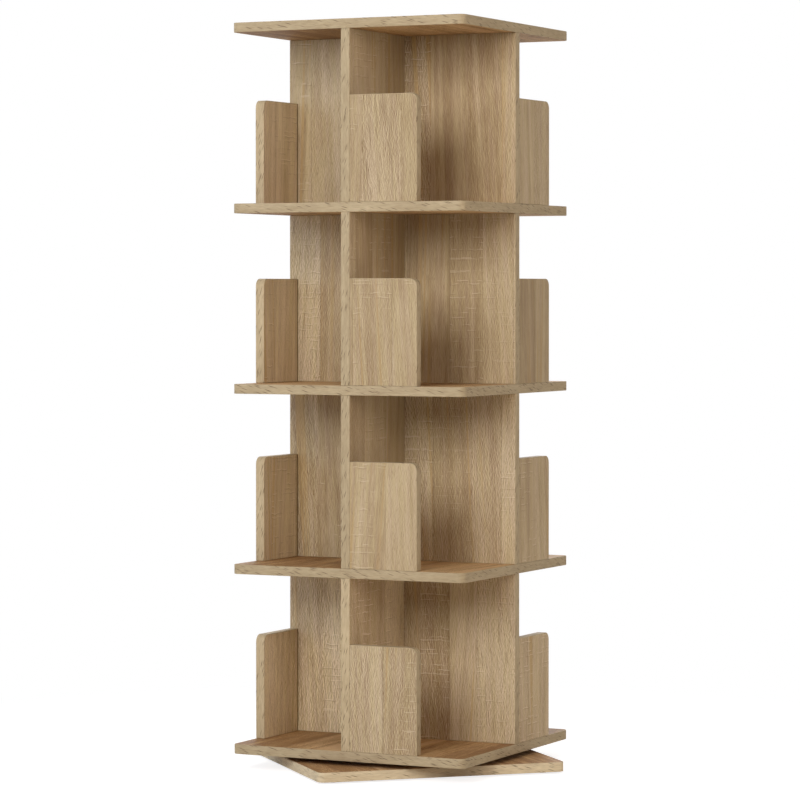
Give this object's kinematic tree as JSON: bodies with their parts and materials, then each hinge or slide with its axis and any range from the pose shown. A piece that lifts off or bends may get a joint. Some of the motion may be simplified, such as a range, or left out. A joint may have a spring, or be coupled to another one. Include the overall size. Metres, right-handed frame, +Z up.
{
  "type": "revolving bookcase",
  "caption": "Floor-standing revolving bookcase: stacked square shelves with pinwheel dividers and half-height bookends, turning on a square base plate.",
  "frame": {"origin": "on the floor, on the turning axis, at the centre of the glides' floor contact", "axes": "+Z up along the turning axis; X and Y parallel to the tower's sides at rest, -Y the front side; the base plate is turned 44.4 degrees about Z to the tower"},
  "size_m": [0.5566, 0.5566, 1.169],
  "materials": {
    "oak_decor_board": "matt embossed oak decor on chipboard, edges banded to match",
    "aluminium_ring": "turned and clear anodised",
    "bearing_steel": "polished",
    "zinc_plated_steel": "bright zinc",
    "nylon": "natural, matt",
    "glide_plastic": "moulded, satin",
    "beech_dowel": "bare beech",
    "cap_foil": "matt printed foil to match the boards"
  },
  "bodies": {
    "base": {"base_plate": "oak_decor_board", "floor_glides": "glide_plastic", "turntable_base_bolts": "zinc_plated_steel", "turntable_outer_ring": "aluminium_ring"},
    "ball_cage": {"turntable_ball_cage": "nylon", "turntable_balls": "bearing_steel"},
    "tower": {"bottom_shelf": "oak_decor_board", "bottom_shelf_screws": "zinc_plated_steel", "shelf_2": "oak_decor_board", "shelf_3": "oak_decor_board", "shelf_4": "oak_decor_board", "tier_1_bookend_back": "oak_decor_board", "tier_1_bookend_front": "oak_decor_board", "tier_1_bookend_left": "oak_decor_board", "tier_1_bookend_right": "oak_decor_board", "tier_1_bookend_screws": "zinc_plated_steel", "tier_1_divider_back": "oak_decor_board", "tier_1_divider_front": "oak_decor_board", "tier_1_divider_left": "oak_decor_board", "tier_1_divider_right": "oak_decor_board", "tier_1_dowels": "beech_dowel", "tier_1_shelf_screws": "zinc_plated_steel", "tier_2_bookend_back": "oak_decor_board", "tier_2_bookend_front": "oak_decor_board", "tier_2_bookend_left": "oak_decor_board", "tier_2_bookend_right": "oak_decor_board", "tier_2_bookend_screws": "zinc_plated_steel", "tier_2_divider_back": "oak_decor_board", "tier_2_divider_front": "oak_decor_board", "tier_2_divider_left": "oak_decor_board", "tier_2_divider_right": "oak_decor_board", "tier_2_dowels": "beech_dowel", "tier_2_shelf_screws": "zinc_plated_steel", "tier_3_bookend_back": "oak_decor_board", "tier_3_bookend_front": "oak_decor_board", "tier_3_bookend_left": "oak_decor_board", "tier_3_bookend_right": "oak_decor_board", "tier_3_bookend_screws": "zinc_plated_steel", "tier_3_divider_back": "oak_decor_board", "tier_3_divider_front": "oak_decor_board", "tier_3_divider_left": "oak_decor_board", "tier_3_divider_right": "oak_decor_board", "tier_3_dowels": "beech_dowel", "tier_3_shelf_screws": "zinc_plated_steel", "tier_4_bookend_back": "oak_decor_board", "tier_4_bookend_front": "oak_decor_board", "tier_4_bookend_left": "oak_decor_board", "tier_4_bookend_right": "oak_decor_board", "tier_4_bookend_screws": "zinc_plated_steel", "tier_4_divider_back": "oak_decor_board", "tier_4_divider_front": "oak_decor_board", "tier_4_divider_left": "oak_decor_board", "tier_4_divider_right": "oak_decor_board", "tier_4_dowels": "beech_dowel", "tier_4_shelf_screws": "zinc_plated_steel", "top_panel": "oak_decor_board", "top_screw_caps": "cap_foil", "turntable_inner_ring": "aluminium_ring", "turntable_shelf_screws": "zinc_plated_steel"}
  },
  "joints": [
    {"name": "tower_spin", "type": "hinge", "parent": "base", "child": "tower", "pos_m": [0, 0, 0.022], "axis": [0, 0, 1], "continuous": true},
    {"name": "ball_cage_spin", "type": "hinge", "parent": "base", "child": "ball_cage", "pos_m": [0, 0, 0.022], "axis": [0, 0, 1], "continuous": true}
  ],
  "couplings": [
    {"joint": "ball_cage_spin", "follows": "tower_spin", "ratio": 0.5}
  ]
}
